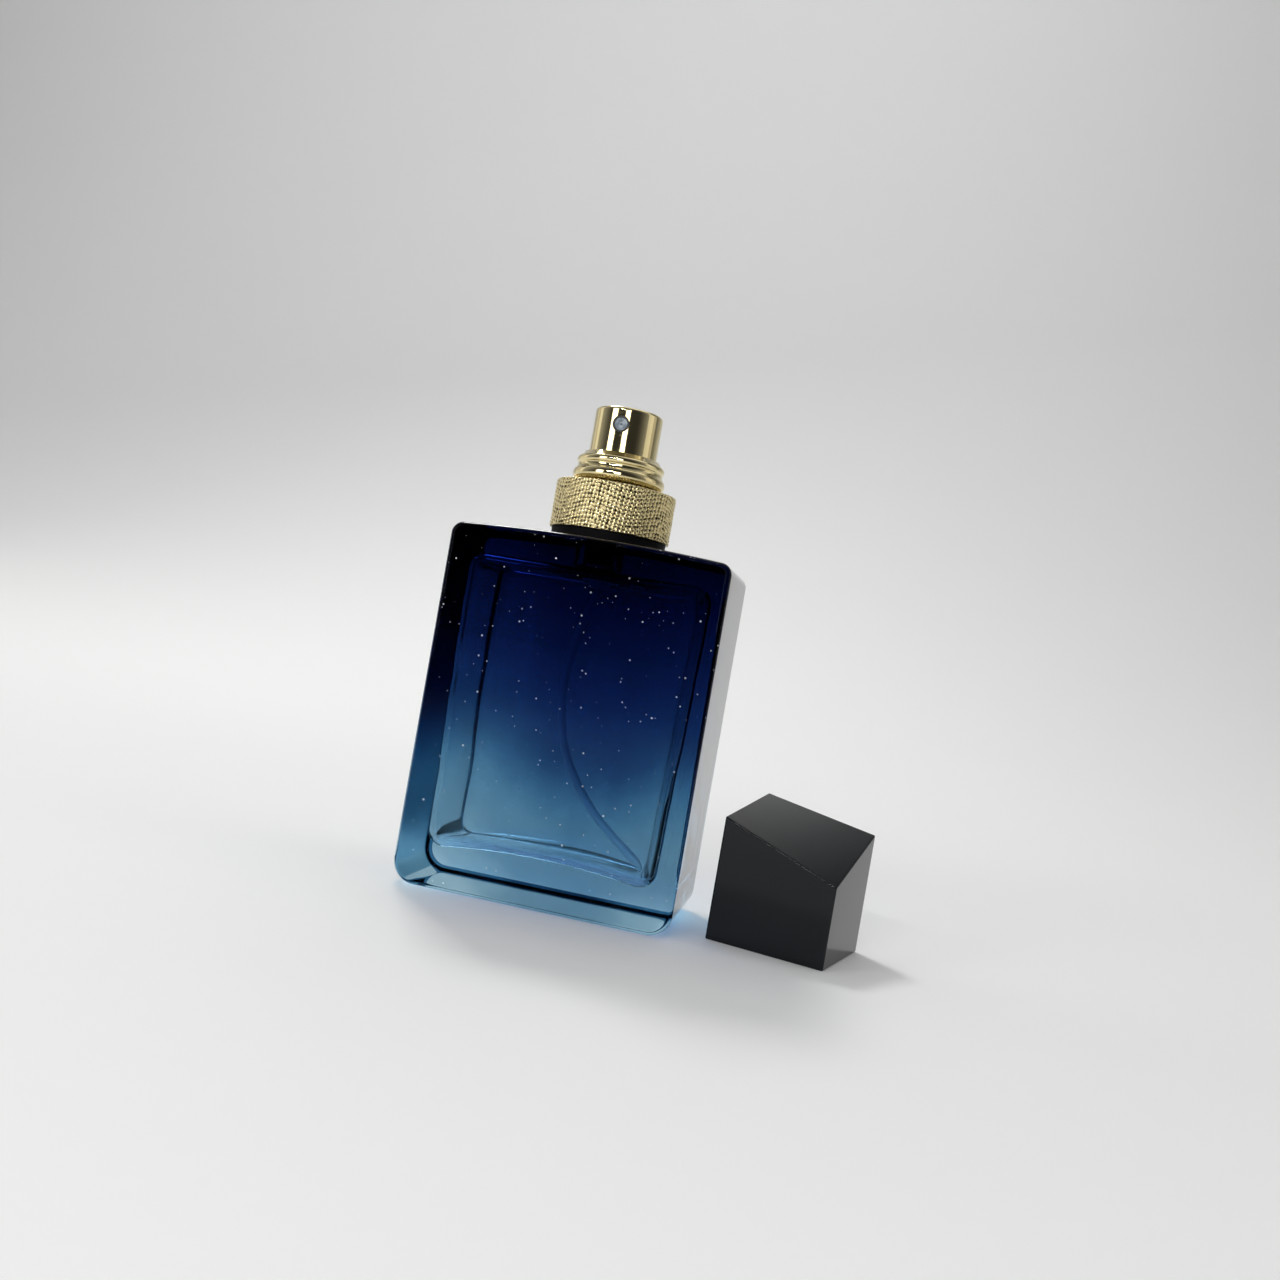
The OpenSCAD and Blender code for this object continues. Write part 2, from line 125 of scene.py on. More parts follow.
class Nodes:
    """Short names for the few kinds of node the materials are built from."""

    def __init__(self, name):
        self.material = bpy.data.materials.new(name)
        self.material.use_nodes = True
        self.tree = self.material.node_tree
        self.shader = self.tree.nodes["Principled BSDF"]
        self.place = self.add("ShaderNodeTexCoord").outputs["Object"]

    def add(self, kind, **settings):
        node = self.tree.nodes.new(kind)
        for key, value in settings.items():
            setattr(node, key, value)
        return node

    def link(self, source, target):
        self.tree.links.new(source, target)

    def stretched(self, scale):
        """Object coordinates scaled along the axes, for a pattern that is longer one way."""
        node = self.add("ShaderNodeMapping")
        node.inputs["Scale"].default_value = scale
        self.link(self.place, node.inputs["Vector"])
        return node.outputs["Vector"]

    def noise(self, scale, detail, roughness=0.55, vector=None):
        node = self.add("ShaderNodeTexNoise")
        node.inputs["Scale"].default_value = scale
        node.inputs["Detail"].default_value = detail
        node.inputs["Roughness"].default_value = roughness
        self.link(vector or self.place, node.inputs["Vector"])
        return node.outputs["Fac"]

    def voronoi(self, scale):
        node = self.add("ShaderNodeTexVoronoi")
        node.inputs["Scale"].default_value = scale
        self.link(self.place, node.inputs["Vector"])
        return node.outputs

    def remap(self, source, low, high, to_low, to_high, smooth=False):
        node = self.add("ShaderNodeMapRange")
        if smooth:
            node.interpolation_type = "SMOOTHSTEP"
        for key, value in zip(RANGE_SOCKETS, (low, high, to_low, to_high)):
            node.inputs[key].default_value = value
        self.link(source, node.inputs["Value"])
        return node.outputs["Result"]

    def math(self, operation, a, b):
        node = self.add("ShaderNodeMath", operation=operation)
        for socket, value in zip(node.inputs, (a, b)):
            if isinstance(value, (int, float)):
                socket.default_value = value
            else:
                self.link(value, socket)
        return node.outputs[0]

    def ramp(self, source, stops):
        node = self.add("ShaderNodeValToRGB")
        band = node.color_ramp
        while len(band.elements) < len(stops):
            band.elements.new(0.5)
        for element, (position, colour) in zip(band.elements, stops):
            element.position = position
            element.color = (*colour, 1.0)
        self.link(source, node.inputs["Fac"])
        return node.outputs["Color"]

    def mix(self, factor, a, b):
        node = self.add("ShaderNodeMix", data_type="RGBA")
        self.link(factor, node.inputs["Factor"])
        for key, value in (("A", a), ("B", b)):
            socket = [s for s in node.inputs if s.name == key and s.type == "RGBA"][0]
            if isinstance(value, tuple):
                socket.default_value = (*value, 1.0)
            else:
                self.link(value, socket)
        return [s for s in node.outputs if s.type == "RGBA"][0]

    def bump(self, height, strength, distance):
        node = self.add("ShaderNodeBump")
        node.inputs["Strength"].default_value = strength
        node.inputs["Distance"].default_value = distance
        self.link(height, node.inputs["Height"])
        self.link(node.outputs["Normal"], self.shader.inputs["Normal"])

    def set(self, **values):
        """Numbers, colours or links for the shader's own sockets, by their names."""
        for key, value in values.items():
            socket = self.shader.inputs[key.replace("_", " ")]
            if isinstance(value, (int, float, tuple)):
                socket.default_value = value
            else:
                self.link(value, socket)


def plain(name, dark, light, rough, grain, bump_grain, bump_depth, **values):
    """Moulded or drawn surface: two close colours, a roughness range and a fine bump."""
    m = Nodes(name)
    tone = m.noise(grain, 5)
    m.set(Base_Color=m.mix(tone, dark, light), **values)
    m.set(Roughness=m.remap(m.noise(grain * 2.3, 6), 0.3, 0.7, *rough))
    m.bump(m.noise(bump_grain, 3), 0.5, bump_depth)
    return m.material


# ---------- glass ----------

# The coating's tint, by height in millimetres above the base
COAT = (
    (0, (0.34, 0.55, 0.68)), (4, (0.16, 0.33, 0.47)), (7, (0.125, 0.28, 0.42)),
    (14, (0.115, 0.27, 0.41)), (20, (0.062, 0.19, 0.335)), (26, (0.024, 0.095, 0.22)),
    (30, (0.011, 0.048, 0.145)), (34, (0.0065, 0.031, 0.115)), (38, (0.005, 0.022, 0.10)),
    (46, (0.0028, 0.0105, 0.068)), (54, (0.0012, 0.0052, 0.042)),
    (63, (0.0004, 0.0017, 0.023)), (72, (0.0001, 0.0006, 0.008)),
)
COAT_TOP = 75 * MM                  # the height that stands for 1 on the colour ramp
SKIN_DEPTH = 0.5                    # power of the tint in the film along the side walls
EDGE_TINT_AND_SHADE_DEPTH = 2.2                    # the same, much deeper, on the rounded back edge: the coating's tint with painted shade added
FLAKE_SCALE = 1000                  # cells of glitter per metre
FLAKE_COLOUR = (0.93, 0.95, 0.98)
GLASS_IOR = 1.5


def coat_tint(m):
    """Tint of the coating by height, a little cloudy and streaked, with painted shade across the
    face, and the split coordinates.
    """
    split = m.add("ShaderNodeSeparateXYZ")
    m.link(m.place, split.inputs[0])
    x, z = split.outputs["X"], split.outputs["Z"]
    height = m.math("DIVIDE", z, COAT_TOP)
    cloud = m.remap(m.noise(38, 3), 0.3, 0.7, -0.03, 0.03)
    streak = m.remap(m.noise(160, 2, vector=m.stretched((1, 1, 0.08))), 0.3, 0.7, -0.01, 0.01)
    # Painted shade: the tint is darker on the right and in the middle of the face and lighter
    # towards its sides, standing in for shadow seen through the glass
    painted_shade_right = m.remap(x, -30 * MM, 30 * MM, -0.04, 0.04)
    middle = m.remap(m.math("ABSOLUTE", x, 0), 4 * MM, 24 * MM, 0.045, -0.045, smooth=True)
    height = m.math("ADD", height, m.math("ADD", painted_shade_right, middle))
    height = m.math("ADD", height, m.math("ADD", cloud, streak))
    return m.ramp(height, [(z_mm * MM / COAT_TOP, colour) for z_mm, colour in COAT]), split


def let_lamps_through(m, tint):
    """Rays from lamps pass straight through the glass, tinted once at each surface."""
    half = m.add("ShaderNodeGamma")
    half.inputs["Gamma"].default_value = 0.5        # the square root: a wall has two surfaces
    if isinstance(tint, tuple):
        half.inputs["Color"].default_value = (*tint, 1.0)
    else:
        m.link(tint, half.inputs["Color"])
    straight = m.add("ShaderNodeBsdfTransparent")
    m.link(half.outputs["Color"], straight.inputs["Color"])
    choose = m.add("ShaderNodeMixShader")
    m.link(m.add("ShaderNodeLightPath").outputs["Is Shadow Ray"], choose.inputs[0])
    m.link(m.shader.outputs[0], choose.inputs[1])
    m.link(straight.outputs[0], choose.inputs[2])
    m.link(choose.outputs[0], m.tree.nodes["Material Output"].inputs["Surface"])


def coated_glass():
    """Clear glass that takes the coating's colour, with flakes of glitter in its dark part."""
    m = Nodes("coated_glass")
    tint, split = coat_tint(m)
    cells = m.voronoi(FLAKE_SCALE)
    pick = m.add("ShaderNodeSeparateColor")
    m.link(cells["Color"], pick.inputs[0])
    # Each cell draws its flake's size, whether there is one at its height, and its strength
    size = m.remap(m.math("POWER", pick.outputs[0], 3.0), 0.0, 1.0, 0.05, 0.18)
    near = m.math("LESS_THAN", cells["Distance"], size)
    upper = m.remap(split.outputs["Z"], 14 * MM, 56 * MM, 0.04, 0.85, smooth=True)
    present = m.math("GREATER_THAN", m.math("ADD", upper, pick.outputs[1]), 1.0)
    flake = m.math("MULTIPLY", near, present)
    flake = m.math("MULTIPLY", flake, m.remap(pick.outputs[2], 0.0, 1.0, 0.3, 1.0))
    m.set(Base_Color=m.mix(flake, tint, FLAKE_COLOUR))
    m.set(Transmission_Weight=m.remap(flake, 0, 1, 1.0, 0.05))
    smear = m.remap(m.noise(55, 5, vector=m.stretched((1, 1, 0.5))), 0.5, 0.75, 0.0, 0.012)
    m.set(Roughness=m.math("ADD", smear, m.remap(flake, 0, 1, 0.0, 0.25)))
    # Face-on reflections are held down, as in a room that is dark in front of the bottle
    m.set(IOR=GLASS_IOR, Specular_Tint=(0.06, 0.065, 0.07, 1.0))
    m.bump(m.noise(45, 2), 0.06, 0.0004)
    let_lamps_through(m, tint)
    return m.material


def paint_skin(name, depth):
    """The coating's colour on light that reflects inside the glass, off its side walls."""
    m = Nodes(name)
    deep = m.add("ShaderNodeGamma")
    deep.inputs["Gamma"].default_value = depth
    m.link(coat_tint(m)[0], deep.inputs["Color"])
    film = m.add("ShaderNodeBsdfTransparent")
    m.link(deep.outputs["Color"], film.inputs["Color"])
    m.link(film.outputs[0], m.tree.nodes["Material Output"].inputs["Surface"])
    m.tree.nodes.remove(m.shader)
    return m.material


def clear_glass():
    """Glass without coating, for the walls inside and the outer side walls."""
    m = Nodes("clear_glass")
    m.set(Base_Color=m.mix(m.noise(60, 3), (0.97, 0.985, 1.0), (1.0, 1.0, 1.0)))
    m.set(Transmission_Weight=1.0, IOR=GLASS_IOR)
    m.set(Roughness=m.remap(m.noise(90, 4), 0.5, 0.8, 0.0, 0.006))
    m.bump(m.noise(70, 2), 0.08, 0.0003)
    let_lamps_through(m, (0.97, 0.98, 1.0))
    return m.material


# Sizes of the glass: its box from the frame, the rest as the CAD has them
GLASS_LO, GLASS_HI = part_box("glass_bottle")
HALF_W = (GLASS_HI.x - GLASS_LO.x) / 2
HALF_D = (GLASS_HI.y - GLASS_LO.y) / 2
NECK_TOP = GLASS_HI.z
SHOULDER_Z = 72.3 * MM
SHOULDER_RISE = 0.9 * MM
TOP_R = 2.4 * MM
BASE_R = 4.6 * MM
EDGE_R = 1.1 * MM
NECK_R = 6.5 * MM
NECK_FILLET = 1.2 * MM              # at the neck's foot, and where its bore opens inside
NECK_BEAD_R = 7.5 * MM
NECK_BEAD_Z = NECK_TOP - 3.6 * MM
BORE_R = 5 * MM
INSIDE_R = 3.5 * MM                 # the hollow's edges at its floor and roof
INSIDE_CORNER_R = 0.8 * MM          # its corners seen from above, at its floor and roof
INSIDE_LOW_W = HALF_W - 4.8 * MM
INSIDE_HIGH_W = INSIDE_LOW_W + 1.4 * MM
INSIDE_D = HALF_D - 3.4 * MM
INSIDE_FLOOR = 7.8 * MM
INSIDE_RISE = 1.4 * MM              # of the crowned floor, at its middle
INSIDE_ROOF = SHOULDER_Z - 5 * MM
WAVE = 0.05 * MM                    # the waviness of moulded glass, inside
FILM_GAP = 0.03 * MM                # from the outer surface in to the coating's film

SIDE_STEPS = 24                     # across the depth
TOP_STEPS = 48                      # along the shoulder
WALL_STEPS = 40                     # down the hollow
LOOP = 2 * (SIDE_STEPS + TOP_STEPS)
CORNERS = (0, TOP_STEPS, TOP_STEPS + SIDE_STEPS, 2 * TOP_STEPS + SIDE_STEPS)
CORNER_SIGNS = ((1, -1), (-1, -1), (-1, 1), (1, 1))
ARC = 8                             # steps on each side of a corner's middle
FIRST_TURN = -30                    # degrees from the X axis to a circle's first point
SIDEWAYS = 0.5                      # how far outwards a face looks to count as a side wall


def crown(x):
    """Height of the shoulder, which bulges a little along the width."""
    share = np.clip(x / (HALF_W - TOP_R), -1, 1)
    return SHOULDER_Z + SHOULDER_RISE * (1 - share ** 2)


def circle_loop(radius):
    """Circle seen from above, with as many points as the shoulder's edge has."""
    angles = math.radians(FIRST_TURN) - 2 * math.pi * np.arange(LOOP) / LOOP
    return np.stack([radius * np.cos(angles), radius * np.sin(angles)], 1)


def rounded_loop(half_x, half_y, radius):
    """Rounded rectangle seen from above, its points matched one to one with circle_loop's."""
    points = np.full((LOOP, 2), np.nan)
    for k, (start, (sx, sy)) in enumerate(zip(CORNERS, CORNER_SIGNS)):
        centre = np.array([sx * (half_x - radius), sy * (half_y - radius)])
        for step in range(-ARC, ARC + 1):
            angle = math.radians(-90 * k - 45 - 45 * step / ARC)
            reach = radius * np.array([math.cos(angle), math.sin(angle)])
            points[(start + step) % LOOP] = centre + reach
    for start, end in zip(CORNERS, CORNERS[1:] + (LOOP,)):
        a, b = start + ARC, end - ARC
        for index in range(a + 1, b):
            share = (index - a) / (b - a)
            points[index % LOOP] = points[a] * (1 - share) + points[b % LOOP] * share
    return points


def outline():
    """The body's outline seen from the front: points, outward directions, first top point."""
    points, normals = [], []

    def arc(cx, cz, radius, start, steps, first=0):
        for k in range(first, steps):
            angle = math.radians(start + 90 * k / steps)
            normals.append((math.cos(angle), math.sin(angle)))
            points.append((cx + radius * normals[-1][0], cz + radius * normals[-1][1]))

    def line(a, b, steps, normal):
        for k in range(steps):
            points.append((a[0] + (b[0] - a[0]) * k / steps, a[1] + (b[1] - a[1]) * k / steps))
            normals.append(normal)

    base_x, top_x, top_z = HALF_W - BASE_R, HALF_W - TOP_R, SHOULDER_Z - TOP_R
    line((-base_x, 0), (base_x, 0), 12, (0, -1))
    arc(base_x, BASE_R, BASE_R, -90, 14)
    line((HALF_W, BASE_R), (HALF_W, top_z), 16, (1, 0))
    arc(top_x, top_z, TOP_R, 0, 12)
    first_top = len(points)
    for k in range(TOP_STEPS + 1):
        share = 1 - 2 * k / TOP_STEPS
        slope = -2 * SHOULDER_RISE * share / top_x
        length = math.hypot(slope, 1)
        points.append((share * top_x, float(crown(share * top_x))))
        normals.append((-slope / length, 1 / length))
    arc(-top_x, top_z, TOP_R, 90, 12, first=1)
    line((-HALF_W, top_z), (-HALF_W, BASE_R), 16, (-1, 0))
    arc(-base_x, BASE_R, BASE_R, 180, 14)
    return np.array(points), np.array(normals), first_top


def glass_body():
    """One closed wall of glass: the outside, up the neck, down its bore and round the hollow."""
    flat, normal, first_top = outline()
    count = len(flat)
    verts, normals, faces = [], [], []
    band = HALF_D - EDGE_R

    # The outline, repeated from the front face over its rounded edge, back and round again
    def add_level(turn, side, y):
        angle = math.radians(turn)
        inset = EDGE_R * (1 - math.cos(angle))
        for p, n in zip(flat, normal):
            verts.append((p[0] - n[0] * inset, y, p[1] - n[1] * inset))
            normals.append((n[0] * math.cos(angle), side * math.sin(angle), n[1] * math.cos(angle)))

    def add_edge(turns, side):
        for turn in turns:
            add_level(turn, side, side * (band + EDGE_R * math.sin(math.radians(turn))))

    turns = [90, 76, 62, 47, 31, 15, 0]
    add_edge(turns, -1)
    for k in range(1, SIDE_STEPS):
        add_level(0, 0, -band + 2 * band * k / SIDE_STEPS)
    add_edge(reversed(turns), 1)
    front_band = len(turns) - 1
    back_band = front_band + SIDE_STEPS
    total = len(verts) // count
    top_columns = set(range(first_top, first_top + TOP_STEPS))
    side_faces = set()
    for level in range(total - 1):
        in_band = front_band <= level < back_band
        for k in range(count):
            if in_band and k in top_columns:
                continue
            if in_band and (abs(normal[k][0]) > SIDEWAYS or normal[k][1] < 0):
                side_faces.add(len(faces))
            a, b = level * count, (level + 1) * count
            faces.append((a + k, a + (k + 1) % count, b + (k + 1) % count, b + k))
    faces.append(tuple(range(count)))
    faces.append(tuple((total - 1) * count + k for k in range(count)))

    # Loop round the hole left in the top, from the front right corner
    def at(level, k):
        return level * count + first_top + k

    ring = [at(front_band, k) for k in range(TOP_STEPS)]
    ring += [at(front_band + k, TOP_STEPS) for k in range(SIDE_STEPS)]
    ring += [at(back_band, TOP_STEPS - k) for k in range(TOP_STEPS)]
    ring += [at(back_band - k, 0) for k in range(SIDE_STEPS)]
    edge = np.array([verts[i][:2] for i in ring])

    def add_ring(plan, z):
        """The next loop of points, joined to the last; Blender works out its shading."""
        nonlocal ring
        start = len(verts)
        for (x, y), height in zip(plan, np.broadcast_to(z, (LOOP,))):
            verts.append((x, y, height))
            normals.append(None)
        fresh = [start + k for k in range(LOOP)]
        for k in range(LOOP):
            n = (k + 1) % LOOP
            faces.append((ring[k], ring[n], fresh[n], fresh[k]))
        ring = fresh

    # Shoulder, from the rectangle's edge in to the neck
    foot_r = NECK_R + NECK_FILLET
    for share in (0.12, 0.25, 0.38, 0.5, 0.62, 0.74, 0.86, 1.0):
        plan = edge * (1 - share) + circle_loop(foot_r) * share
        add_ring(plan, crown(plan[:, 0]))
    for turn in (30, 60, 90):
        a = math.radians(turn)
        plan = circle_loop(foot_r - NECK_FILLET * math.sin(a))
        add_ring(plan, crown(plan[:, 0]) + NECK_FILLET * (1 - math.cos(a)))
    # The neck's bead, its lip and its bore
    bead = [(NECK_R, NECK_BEAD_Z - 0.2 * MM), (NECK_R + 0.1 * MM, NECK_BEAD_Z),
            (NECK_BEAD_R - 0.25 * MM, NECK_BEAD_Z), (NECK_BEAD_R, NECK_BEAD_Z + 0.25 * MM),
            (NECK_BEAD_R, NECK_TOP - 0.4 * MM), (NECK_BEAD_R - 0.12 * MM, NECK_TOP - 0.12 * MM),
            (NECK_BEAD_R - 0.4 * MM, NECK_TOP), (BORE_R + 0.3 * MM, NECK_TOP),
            (BORE_R, NECK_TOP - 0.3 * MM), (BORE_R, INSIDE_ROOF + NECK_FILLET)]
    for radius, z in bead:
        add_ring(circle_loop(radius), z)
    coat_faces = len(faces)
    for turn in (30, 60, 90):
        a = math.radians(turn)
        add_ring(circle_loop(BORE_R + NECK_FILLET * (1 - math.cos(a))),
                 INSIDE_ROOF + NECK_FILLET * (1 - math.sin(a)))

    # Inside: roof, rounded top edge, drafted walls, rounded foot and crowned floor
    def core(width, theta):
        reach = INSIDE_R * math.cos(theta)
        radius = math.hypot(reach, INSIDE_CORNER_R)
        return rounded_loop(width - INSIDE_R + reach, INSIDE_D - INSIDE_R + reach, radius)

    def rise(x):
        return INSIDE_RISE * (1 - np.clip(np.abs(x) / (INSIDE_LOW_W - INSIDE_R), 0, 1) ** 2)

    neck_loop = circle_loop(BORE_R + NECK_FILLET)
    roof = core(INSIDE_HIGH_W, math.radians(90))
    for share in (0.25, 0.5, 0.75, 1.0):
        add_ring(neck_loop * (1 - share) + roof * share, INSIDE_ROOF)
    for turn in (80, 70, 60, 50, 40, 30, 20, 10, 0):
        a = math.radians(turn)
        add_ring(core(INSIDE_HIGH_W, a), INSIDE_ROOF - INSIDE_R + INSIDE_R * math.sin(a))
    high, low = INSIDE_ROOF - INSIDE_R, INSIDE_FLOOR + INSIDE_R
    for k in range(1, WALL_STEPS + 1):
        share = k / WALL_STEPS
        width = INSIDE_HIGH_W * (1 - share) + INSIDE_LOW_W * share
        add_ring(core(width, 0.0), high * (1 - share) + low * share)
    for turn in (8, 16, 24, 32, 40, 48, 56, 64, 72, 80, 90):
        a = math.radians(turn)
        plan = core(INSIDE_LOW_W, a)
        add_ring(plan, low - (INSIDE_R - rise(plan[:, 0])) * math.sin(a))
    floor = core(INSIDE_LOW_W, math.radians(90))
    for share in (0.86, 0.72, 0.58, 0.44, 0.3, 0.18, 0.08, 0.02):
        plan = floor * share
        add_ring(plan, INSIDE_FLOOR + rise(plan[:, 0]))
    faces.append(tuple(ring))

    # The inside of moulded glass is slightly wavy, less so near its floor
    points = np.array(verts)
    x, y, z = points.T.copy()
    inner_rings = (len(faces) - 1 - coat_faces) // LOOP
    inner = np.arange(len(points)) >= len(points) - inner_rings * LOOP
    wave = WAVE * (np.sin(z * 310 + x * 90) + np.sin(x * 260 - z * 140 + 1.3)
                   + 0.6 * np.sin(z * 620 + y * 300 + 0.4))
    calm = np.clip((z - INSIDE_FLOOR) / (8 * MM), 0.35, 1)
    for axis, half in ((0, INSIDE_HIGH_W), (1, INSIDE_D)):
        outwards = np.clip(points[:, axis] / half, -1, 1)
        points[:, axis] += np.where(inner, wave * calm * outwards, 0)

    obj = new_object("bottle_glass", points, faces, [coated_glass(), clear_glass()],
                     face_material=lambda i: 0 if i < coat_faces and i not in side_faces else 1)
    # Outside, the shading follows the true curve; elsewhere it is Blender's own
    shade = [v.normal if n is None else n for n, v in zip(normals, obj.data.vertices)]
    obj.data.normals_split_custom_set_from_vertices([Vector(n).normalized() for n in shade])
    return obj


def coat_skin():
    """Film just inside the outer surface of the side walls and of the rounded back edge."""
    flat, normal, _ = outline()
    count = len(flat)
    verts, faces = [], []

    def add_level(turn, side):
        a = math.radians(turn)
        inset = EDGE_R - (EDGE_R - FILM_GAP) * math.cos(a)
        y = side * (HALF_D - EDGE_R + (EDGE_R - FILM_GAP) * math.sin(a))
        verts.extend((p[0] - n[0] * inset, y, p[1] - n[1] * inset) for p, n in zip(flat, normal))

    wall_turns, edge_turns = [30, 15, 0], [12, 28, 44, 60, 76]
    for turn in wall_turns:
        add_level(turn, -1)
    for turn in reversed(wall_turns):
        add_level(turn, 1)
    coated = [abs(n[0]) > SIDEWAYS for n in normal]
    wall_levels = 2 * len(wall_turns)
    for level in range(wall_levels - 1):
        quads = ring_quads(level * count, (level + 1) * count, count)
        faces += [quad for k, quad in enumerate(quads) if coated[k] and coated[(k + 1) % count]]
    wall_faces = len(faces)
    for turn in edge_turns:
        add_level(turn, 1)
    for level in range(wall_levels, wall_levels + len(edge_turns) - 1):
        faces += ring_quads(level * count, (level + 1) * count, count)
    # The back edge's film is deepened past the coating's tint as painted shade
    skins = [paint_skin("coat_skin", SKIN_DEPTH), paint_skin("coat_edge_and_shade", EDGE_TINT_AND_SHADE_DEPTH)]
    return new_object("bottle_coat", verts, faces, skins,
                      face_material=lambda i: 0 if i < wall_faces else 1)


glass = glass_body()
coat = coat_skin()
for piece in (glass, coat):
    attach(piece, "bottle")
    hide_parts("glass_bottle")


# ---------- hammered collar ----------

def hammered_gold():
    """Gold that is dark and dull between the domes and bright and smooth on top of them, the dark
    between them being painted shade.
    """
    m = Nodes("hammered_gold")
    dome = m.add("ShaderNodeAttribute", attribute_name="dome").outputs["Fac"]
    shade = m.remap(dome, 0.1, 0.6, 0.0, 1.0, smooth=True)
    worn = m.mix(m.noise(900, 4), (0.60, 0.49, 0.23), (0.88, 0.75, 0.43))
    # Painted shade: near-black colour in the hollows between the domes
    m.set(Base_Color=m.mix(shade, (0.008, 0.005, 0.002), worn))
    m.set(Metallic=1.0)
    grime = m.remap(dome, 0.1, 0.8, 0.45, 0.12)
    m.set(Roughness=m.math("ADD", grime, m.remap(m.noise(2600, 5), 0.3, 0.7, -0.08, 0.1)))
    m.bump(m.noise(5200, 4), 0.5, 0.00003)
    return m.material


COLLAR_WALL = 0.6 * MM
COLLAR_HOLE_R = 8.9 * MM
COLLAR_TOP_EDGE = 0.4 * MM
COLLAR_FOOT_EDGE = 0.3 * MM
COLLAR_LIP = 0.15 * MM              # where the skin meets the hole in the top
HAMMER_PITCH = 0.88 * MM
HAMMER_DEPTH = 0.34 * MM
HAMMER_ROWS = 0.9                   # distance between rows of domes, in pitches
DOME_REACH = 0.58                   # radius of a dome, in pitches
COLLAR_AROUND = 880                 # points round the collar
COLLAR_UP = 78                      # steps up its wall


def collar_path(lo, hi, radius):
    """The skin in section: from under the foot's edge, up the wall, over the top to the hole."""
    low, high = lo.z + COLLAR_FOOT_EDGE, hi.z - COLLAR_TOP_EDGE
    path = arc_points(radius - COLLAR_FOOT_EDGE, low, COLLAR_FOOT_EDGE, -90, 0, 5)
    path += [(radius, low + (high - low) * k / COLLAR_UP) for k in range(1, COLLAR_UP)]
    path += arc_points(radius - COLLAR_TOP_EDGE, high, COLLAR_TOP_EDGE, 0, 90, 9)
    start, end = radius - COLLAR_TOP_EDGE, COLLAR_HOLE_R + COLLAR_LIP
    path += [(start + (end - start) * k / 15, hi.z) for k in range(1, 16)]
    return np.array(path)


def dome_heights(run, radius):
    """Height, from 0 to 1, of the nearest of many slightly misplaced domes at each point."""
    columns = int(round(2 * math.pi * radius / HAMMER_PITCH))
    pitch_v = HAMMER_PITCH * HAMMER_ROWS
    lines = int(run[-1] / pitch_v) + 3
    jitter = rng.uniform(-0.1, 0.1, (lines, columns, 2))
    tall = rng.uniform(0.72, 1.0, (lines, columns))
    wide = rng.uniform(0.9, 1.12, (lines, columns))
    s = np.arange(COLLAR_AROUND) / COLLAR_AROUND * columns
    grid_s, grid_v = np.meshgrid(s, run / pitch_v)
    # Rows wander and slant a little, a whole number of times round the collar
    turn = grid_s * 2 * math.pi / columns
    u = grid_s + grid_v * 0.4 + 0.8 * np.sin(turn * 4)
    w = grid_v + 0.9 * np.sin(turn * 5 + 0.8) + 1
    near = np.full(grid_s.shape, np.inf)
    lift = np.zeros(grid_s.shape)
    base_v = np.floor(w).astype(int)
    for dv in (-1, 0, 1):
        line = np.clip(base_v + dv, 0, lines - 1)
        shift = 0.5 * (line % 2)
        base_u = np.floor(u - shift).astype(int)
        for du in (-1, 0, 1):
            column = (base_u + du) % columns
            off_u = u - (base_u + du + shift + 0.5 + jitter[line, column, 0])
            off_v = w - (base_v + dv + 0.5 + jitter[line, column, 1])
            # Each dome is longer on one diagonal than on the other
            distance = np.hypot((off_u + off_v) * 0.60, (off_u - off_v) * 0.84)
            distance /= wide[line, column]
            closer = distance < near
            near = np.where(closer, distance, near)
            lift = np.where(closer, tall[line, column], lift)
    return np.sqrt(np.clip(1 - (near / DOME_REACH) ** 2, 0, 1)) * lift


def hammered_collar():
    """Collar with a skin hammered into rows of domes, and a plain inside."""
    lo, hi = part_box("collar")
    radius = (hi.x - lo.x) / 2
    path = collar_path(lo, hi, radius)
    run = np.concatenate([[0], np.cumsum(np.hypot(*np.diff(path, axis=0).T))])
    tangent = np.gradient(path, axis=0)
    tangent /= np.linalg.norm(tangent, axis=1)[:, None]
    outward = np.stack([tangent[:, 1], -tangent[:, 0]], 1)
    dome = dome_heights(run, radius)
    # The hammering fades out at the foot and at the hole
    fade = np.clip(run / (0.5 * MM), 0, 1) * np.clip((run[-1] - run) / (0.6 * MM), 0, 1)
    lowered = HAMMER_DEPTH * (1 - dome) * fade[:, None]
    angle = np.arange(COLLAR_AROUND) / COLLAR_AROUND * 2 * math.pi
    verts, domes, faces = [], [], []
    for row, (r, z) in enumerate(path):
        r = r - lowered[row] * outward[row, 0]
        z = z - lowered[row] * outward[row, 1]
        verts += list(zip(r * np.cos(angle), r * np.sin(angle), z))
        domes += list(dome[row])
    last = 0
    for row in range(1, len(path)):
        faces += ring_quads(last, row * COLLAR_AROUND, COLLAR_AROUND)
        last = row * COLLAR_AROUND
    # Plain inside: the hole, under the top and down the wall, back to the foot
    under, inner_r = hi.z - COLLAR_WALL, radius - COLLAR_WALL
    for r, z in ((COLLAR_HOLE_R, hi.z - COLLAR_LIP), (COLLAR_HOLE_R, under), (inner_r, under),
                 (inner_r, lo.z)):
        start = len(verts)
        verts += [(r * math.cos(a), r * math.sin(a), z) for a in angle]
        # The inside takes a middling dome value, so part of the painted shade darkens it
        domes += [0.4] * COLLAR_AROUND
        faces += ring_quads(last, start, COLLAR_AROUND)
        last = start
    faces += ring_quads(last, 0, COLLAR_AROUND)
    obj = new_object("collar_hammered", verts, faces, [hammered_gold()])
    store = obj.data.attributes.new("dome", "FLOAT", "POINT")
    store.data.foreach_set("value", np.array(domes, np.float32))
    return obj


collar = hammered_collar()
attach(collar, "bottle")
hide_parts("collar")


# ---------- polished gold ----------

